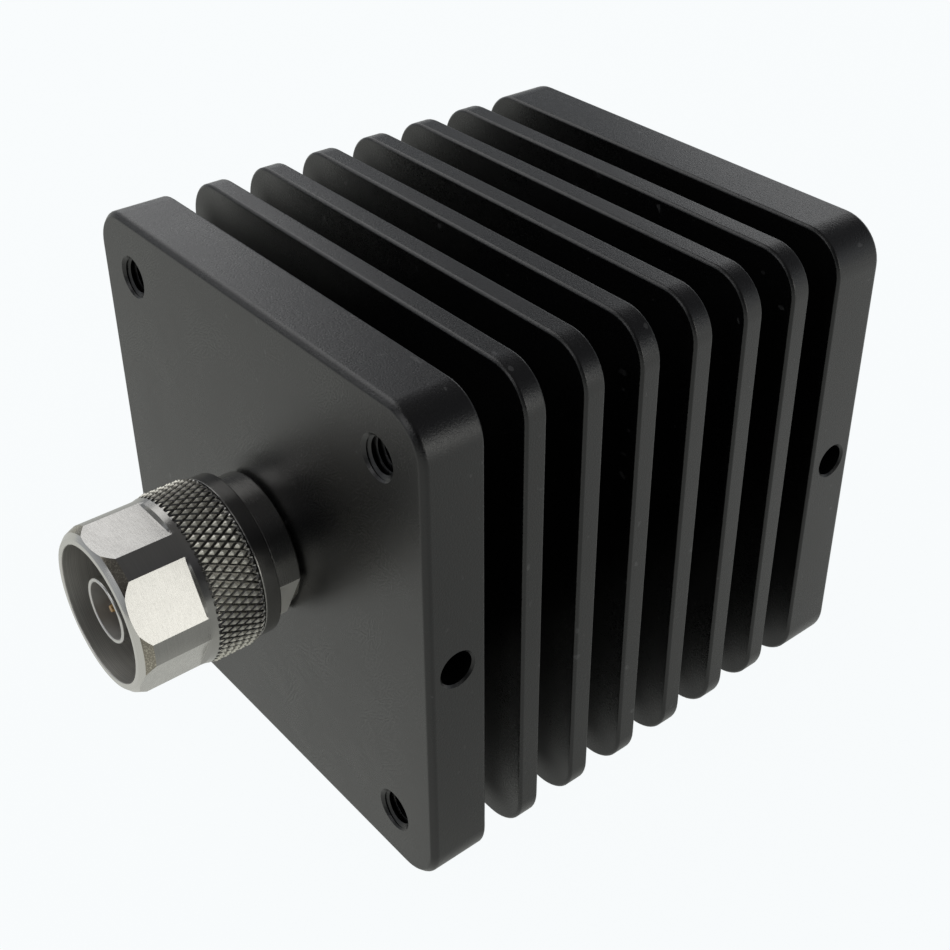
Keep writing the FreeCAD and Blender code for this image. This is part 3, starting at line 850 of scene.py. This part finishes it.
class ATTENUATOR_OT_coupling_nut(bpy.types.Operator):
    """Build the coupling nut: cone, six milled flats, knurl, rear band, deep mouth and thread."""

    bl_idname = "attenuator.coupling_nut"
    bl_label = "Coupling nut"

    def execute(self, context):
        sizes = context.scene.attenuator_nut
        ports = context.scene.attenuator_ports
        low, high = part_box("coupling_nut")
        mouth, rear = low.y, high.y
        top = (high.x - low.x) / 2
        flats = 6
        half = math.acos(sizes.flats / sizes.body)
        around = sizes.knurl_teeth * 4
        per_flat = around // flats
        strip = round(per_flat * (1.0 - 2.0 * half * flats / TURN))
        columns, offsets = flat_columns(flats, sizes.flat_turn, half, per_flat - strip, strip)
        even = even_columns(around, columns[0])
        limits = flat_radii(offsets, sizes.flats, sizes.body)
        flat_rear = mouth + sizes.flat_length
        knurl_rear = rear - sizes.band
        knurl_front = knurl_rear - sizes.knurl_length
        lip_edge = sizes.mouth + sizes.mouth_edge
        soft = millimetres(0.10)
        ring_middle = (flat_rear + knurl_front) / 2
        middle_radius = (sizes.ring_low + sizes.ring_high) / 2

        shell = Shell()
        sections = []
        for limit in limits:
            start = min(limit, sizes.rim)
            rise = (limit - start) / (sizes.body - sizes.rim)
            bevelled = mouth + sizes.edge - (sizes.rim - start)
            cone = bevelled + (sizes.slope - sizes.edge) * rise
            sections.append(rounded([
                (mouth, lip_edge, 0.0),
                (mouth, sizes.rim - sizes.edge, soft * 0.5),
                (bevelled, start, 0.0),
                (cone, limit, 0.0),
                (flat_rear - sizes.shoulder, limit, 0.0),
                (flat_rear, max(limit, sizes.ring_low), 0.0),
                (ring_middle, middle_radius, 0.0),
            ]))
        shell.milled(columns, sections)
        shell.skin([
            ring(columns, ring_middle, middle_radius),
            ring(even, ring_middle, middle_radius),
            ring(even, knurl_front, sizes.ring_high),
        ])
        rows = knurl(shell, even, sizes, knurl_front, knurl_rear, top)
        shell.skin([ring(even, knurl_front, sizes.ring_high), rows[0]], smooth=False)
        waist = sizes.body - sizes.groove
        band_front = knurl_rear + sizes.groove * 0.5
        shell.skin([rows[-1], ring(even, knurl_rear, waist)], smooth=False)
        shell.turned(even, rounded([
            (knurl_rear, waist, 0.0),
            (band_front, waist, 0.0),
            (band_front, sizes.body, soft),
            (band_front + soft * 2, sizes.body, 0.0),
            (rear - soft * 2, sizes.body, 0.0),
            (rear, sizes.body, soft),
            (rear, sizes.lip_bore, soft),
            (rear - sizes.lip, sizes.lip_bore, soft),
            (rear - sizes.lip, sizes.relief, 0.0),
        ]))
        thread_front = mouth + sizes.mouth_depth
        thread_rear = thread_front + sizes.thread_length
        shell.turned(even, [
            (rear - sizes.lip, sizes.relief),
            (thread_rear, sizes.relief),
            (thread_rear, sizes.thread_root),
        ])
        shell.coupling_thread(
            even, thread_front, thread_rear, ports.thread_pitch, sizes.thread_root, sizes.thread_crest
        )
        shell.turned(even, rounded([
            (thread_front, sizes.thread_root, 0.0),
            (thread_front, sizes.mouth, soft),
            (mouth + sizes.mouth_edge, sizes.mouth, soft),
            (mouth, lip_edge, 0.0),
        ]))
        shell.skin([ring(even, mouth, lip_edge), ring(columns, mouth, lip_edge)])
        finish = nut_metal(context.scene.attenuator_finish, sizes, low)
        dress(shell.object("nut_shell"), NUT, finish, "coupling_nut", 14.0)
        return {"FINISHED"}


def collar_columns(ports, low, high):
    """Columns of a wrench collar with two flats, and the collar's radius at each."""
    radius = (high.x - low.x) / 2
    half = math.acos(ports.collar_flats / radius)
    columns, offsets = flat_columns(2, ports.collar_turn, half, 36, 60)
    return columns, flat_radii(offsets, ports.collar_flats, radius)


class ATTENUATOR_OT_plug(bpy.types.Operator):
    """Build the plug's body with its wrench collar, and its outer contact."""

    bl_idname = "attenuator.plug"
    bl_label = "Plug"

    def execute(self, context):
        ports = context.scene.attenuator_ports
        colours = context.scene.attenuator_finish
        low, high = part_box("plug_body")
        edge = millimetres(0.25)
        columns, limits = collar_columns(ports, low, high)
        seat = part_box("heat_sink")[0].y
        collar = seat - ports.collar
        bead = seat - ports.bead_depth
        ring_front = low.y + ports.ring_front
        ring_rear = ring_front + ports.ring_width
        contact_bore = ports.contact + millimetres(0.02)
        shell = Shell()
        shell.milled(columns, [rounded([
            (low.y, contact_bore, 0.0),
            (low.y, ports.neck, edge),
            (ring_front, ports.neck, 0.0),
            (ring_front, ports.ring_seat, 0.0),
            (ring_rear, ports.ring_seat, 0.0),
            (ring_rear, ports.neck, 0.0),
            (collar, ports.neck, 0.0),
            (collar, limit, edge),
            (seat - ports.collar_bevel, limit, edge * 0.4),
            (seat, limit - ports.collar_bevel, 0.0),
            (seat, ports.spigot, 0.0),
            (high.y, ports.spigot, 0.0),
            (high.y, ports.bead, 0.0),
            (bead, ports.bead, 0.0),
            (bead, contact_bore, 0.0),
            (low.y, contact_bore, 0.0),
        ]) for limit in limits])
        finish = machined("plug_nickel", colours.nickel, colours.nickel_roughness, 0.80, ports)
        dress(shell.object("plug_collar"), ATTENUATOR, finish, "plug_body")

        tube_low, tube_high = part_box("plug_outer_contact")
        even = even_columns(128)
        nose = millimetres(0.13)
        shell = Shell()
        shell.turned(even, rounded([
            (tube_low.y + nose, ports.line, nose),
            (tube_low.y, ports.line + nose, nose * 0.5),
            (tube_low.y, ports.contact - nose, nose * 0.5),
            (tube_low.y + nose, ports.contact, nose * 0.5),
            (tube_high.y, ports.contact, 0.0),
            (tube_high.y, ports.line, 0.0),
            (tube_low.y + nose, ports.line, 0.0),
        ]))
        finish = machined("white_bronze", colours.bronze, 0.24, 0.95, ports)
        dress(shell.object("outer_contact_tube"), ATTENUATOR, finish, "plug_outer_contact")
        return {"FINISHED"}


class ATTENUATOR_OT_jack(bpy.types.Operator):
    """Build the jack's body with its wrench collar and outside thread."""

    bl_idname = "attenuator.jack"
    bl_label = "Jack"

    def execute(self, context):
        ports = context.scene.attenuator_ports
        colours = context.scene.attenuator_finish
        low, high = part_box("jack_body")
        edge = millimetres(0.25)
        columns, limits = collar_columns(ports, low, high)
        even = even_columns(len(columns), columns[0])
        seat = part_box("heat_sink")[1].y
        collar = seat + ports.collar
        bead = seat + ports.bead_depth
        thread_front = collar + ports.thread_relief
        thread_rear = high.y - ports.jack_bevel
        shoulder = high.y - ports.socket_depth
        shell = Shell()
        shell.milled(columns, [rounded([
            (low.y, ports.bead, 0.0),
            (low.y, ports.spigot, 0.0),
            (seat, ports.spigot, 0.0),
            (seat, limit - ports.collar_bevel, 0.0),
            (seat + ports.collar_bevel, limit, edge * 0.4),
            (collar, limit, edge),
            (collar, ports.thread_minor, 0.0),
        ]) for limit in limits])
        shell.skin([ring(columns, collar, ports.thread_minor), ring(even, thread_front, ports.thread_minor)])
        shell.coupling_thread(
            even, thread_front, thread_rear, ports.thread_pitch, ports.thread_minor, ports.thread_major
        )
        shell.turned(even, rounded([
            (thread_rear, ports.thread_minor, 0.0),
            (high.y, ports.thread_minor - edge, edge),
            (high.y, ports.socket + edge, edge * 0.5),
            (high.y - edge, ports.socket, edge * 0.5),
            (shoulder, ports.socket, 0.0),
            (shoulder, ports.line, 0.0),
            (bead, ports.line, 0.0),
            (bead, ports.bead, 0.0),
            (low.y, ports.bead, 0.0),
        ]))
        shell.skin([ring(even, low.y, ports.bead), ring(columns, low.y, ports.bead)])
        finish = machined("jack_nickel", colours.nickel, colours.nickel_roughness, 0.62, ports)
        dress(shell.object("jack_barrel"), ATTENUATOR, finish, "jack_body")
        return {"FINISHED"}


# Finish, its kind, colour and roughness, and the nodes that keep their CAD form in it
KEPT = (
    ("gold_plating", plain_metal, "gold", 0.34, ("plug_center_pin", "jack_center_contact")),
    ("bare_copper", plain_metal, "copper", 0.38, ("chip_carrier", "carrier_cover")),
    ("silver_plating", plain_metal, "silver", 0.25, ("input_lead", "output_lead")),
    ("spring_steel", plain_metal, "spring", 0.30, ("nut_snap_ring",)),
    ("plated_flange", plain_metal, "nickel", 0.30, ("chip_flange",)),
    ("black_oxide", plain_solid, "oxide", 0.42, ("plug_lock_screw", "jack_lock_screw")),
    ("white_bead", plain_solid, "bead", 0.45, ("plug_bead", "jack_bead")),
    ("seal_rubber", plain_solid, "rubber", 0.62, ("plug_gasket",)),
    ("white_ceramic", plain_solid, "ceramic", 0.50, ("resistor_chip", "chip_lid")),
)


class ATTENUATOR_OT_inner_pieces(bpy.types.Operator):
    """Give the pieces that keep their CAD form their finishes."""

    bl_idname = "attenuator.inner_pieces"
    bl_label = "Inner pieces"

    def execute(self, context):
        colours = context.scene.attenuator_finish
        for name, make, shade, roughness, nodes in KEPT:
            finish = make(name, getattr(colours, shade), roughness)
            for node in nodes:
                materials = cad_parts[node].data.materials
                materials.clear()
                materials.append(finish)
        return {"FINISHED"}


def softbox(name, place, target, width, height, power, shade=(1.0, 1.0, 1.0)):
    """A rectangular lamp that faces a target."""
    data = bpy.data.lights.new(name, "AREA")
    data.shape = "RECTANGLE"
    data.size = width
    data.size_y = height
    data.energy = power
    data.color = shade
    lamp = bpy.data.objects.new(name, data)
    lamp.location = place
    lamp.rotation_mode = "QUATERNION"
    lamp.rotation_quaternion = (place - target).to_track_quat("Z", "Y")
    bpy.context.scene.collection.objects.link(lamp)


class ATTENUATOR_OT_stage(bpy.types.Operator):
    """Make the camera, the pale floor, the world and the lamps."""

    bl_idname = "attenuator.stage"
    bl_label = "Stage"

    def execute(self, context):
        scene = context.scene
        settings = scene.attenuator_stage
        scene.view_settings.view_transform = "Standard"
        self.camera(scene, settings)
        self.floor(scene)
        self.world(scene, settings)
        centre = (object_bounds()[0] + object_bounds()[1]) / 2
        for name, place, *light in LAMPS:
            softbox(name, centre + Vector(place), centre, *light)
        return {"FINISHED"}

    def camera(self, scene, settings):
        """The camera, turned by its angles. Its lens is shifted because the picture is a crop."""
        azimuth, elevation, roll = settings.azimuth, settings.elevation, settings.roll
        back = Vector((
            math.sin(azimuth) * math.cos(elevation),
            -math.cos(azimuth) * math.cos(elevation),
            math.sin(elevation),
        ))
        right = (-back).cross(Vector((0.0, 0.0, 1.0))).normalized()
        up = right.cross(-back)
        level = Matrix((right, up, back)).transposed().to_4x4()
        data = bpy.data.cameras.new("camera")
        data.sensor_width = 36.0
        data.lens = settings.focal
        data.shift_x, data.shift_y = settings.shift
        data.clip_start = 0.005
        camera = bpy.data.objects.new("camera", data)
        place = Matrix.Translation(settings.camera_place)
        camera.matrix_world = place @ level @ Matrix.Rotation(roll, 4, "Z")
        scene.collection.objects.link(camera)
        scene.camera = camera

    def floor(self, scene):
        """The pale floor. Reflections see it grey, with a painted shadow beside the part and painted light
        behind it.
        """
        reach = 6.0
        shell = bmesh.new()
        bmesh.ops.create_grid(shell, x_segments=1, y_segments=1, size=reach)
        data = bpy.data.meshes.new("floor")
        shell.to_mesh(data)
        shell.free()
        floor = bpy.data.objects.new("floor", data)
        floor.location.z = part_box("heat_sink")[0].z
        scene.collection.objects.link(floor)
        material = bpy.data.materials.new("pale_floor")
        nodes = Nodes(material)
        paper = nodes.node("BsdfDiffuse", {}, {"Color": scene.attenuator_finish.floor})
        glow = nodes.node("Emission", {}, {"Color": WHITE, "Strength": 1.0})
        path = nodes.node("LightPath")
        across, along, _ = nodes.locate("Object")[1]
        # Painted shadow and light on the floor that reflections see: darker beside the part, on its right,
        # and paler behind it
        shaded = (across * 0.8 + along * 0.6).step(0.014, 0.04)
        level = nodes.blend(shaded, (0.60, 0.61, 0.58), (0.47, 0.48, 0.46))
        level = nodes.blend(along.step(0.03, 0.11), level, (0.66, 0.67, 0.65))
        reflected_floor_shading = nodes.node("Emission", {}, {"Color": level, "Strength": 1.0})
        # A little of the paper shows through the white, with the part's shadow on it
        seen = nodes.mix(nodes.value(path, "Is Camera Ray") * 0.965, paper, glow)
        both = nodes.mix(nodes.value(path, "Is Glossy Ray"), seen, reflected_floor_shading)
        nodes.node("OutputMaterial", {}, {"Surface": both})
        data.materials.append(material)
        floor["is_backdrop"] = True

    def world(self, scene, settings):
        """White to the camera, and a dim studio, darkest on one side, to all else."""
        world = bpy.data.worlds.new("studio")
        scene.world = world
        nodes = Nodes(world)
        across, along, up = nodes.locate("Generated")[1]
        dark_side = (across * 0.85 - along * 0.52).step(0.55, 0.85)
        stops = [
            (0.0, (0.52, 0.54, 0.56)),
            (0.34, (0.46, 0.48, 0.50)),
            (0.42, (0.28, 0.29, 0.31)),
            (0.50, (0.15, 0.15, 0.16)),
            (0.75, (0.13, 0.13, 0.14)),
            (1.0, (0.16, 0.16, 0.16)),
        ]
        ramp = nodes.node("ValToRGB", {"stops": stops}, {0: up})
        strength = settings.sky * (1.0 - dark_side * 0.8)
        studio = nodes.node("Background", {}, {"Color": ramp, "Strength": strength})
        white = nodes.node("Background", {}, {"Color": WHITE, "Strength": 1.0})
        both = nodes.mix(nodes.value(nodes.node("LightPath"), "Is Camera Ray"), studio, white)
        nodes.node("OutputWorld", {}, {"Surface": both})


PIECES = (
    ATTENUATOR_OT_heat_sink,
    ATTENUATOR_OT_coupling_nut,
    ATTENUATOR_OT_plug,
    ATTENUATOR_OT_jack,
    ATTENUATOR_OT_inner_pieces,
    ATTENUATOR_OT_stage,
)


class ATTENUATOR_PT_panel(bpy.types.Panel):
    """Lists the steps that build the attenuator."""

    bl_idname = "ATTENUATOR_PT_panel"
    bl_label = "Coaxial attenuator"
    bl_space_type = "VIEW_3D"
    bl_region_type = "UI"
    bl_category = "Attenuator"

    def draw(self, context):
        for piece in PIECES:
            self.layout.operator(piece.bl_idname)


SETTINGS = {
    "attenuator_sink": SinkSizes,
    "attenuator_nut": NutSizes,
    "attenuator_ports": PortSizes,
    "attenuator_finish": FinishSettings,
    "attenuator_stage": StageSettings,
}
CLASSES = (*SETTINGS.values(), *PIECES, ATTENUATOR_PT_panel)


def register():
    for kind in CLASSES:
        bpy.utils.register_class(kind)
    for name, group in SETTINGS.items():
        setattr(bpy.types.Scene, name, bpy.props.PointerProperty(type=group))


def unregister():
    for name in SETTINGS:
        delattr(bpy.types.Scene, name)
    for kind in reversed(CLASSES):
        bpy.utils.unregister_class(kind)


def main():
    register()
    for piece in PIECES:
        family, step = piece.bl_idname.split(".")
        getattr(getattr(bpy.ops, family), step)()


if __name__ == "__main__":
    main()
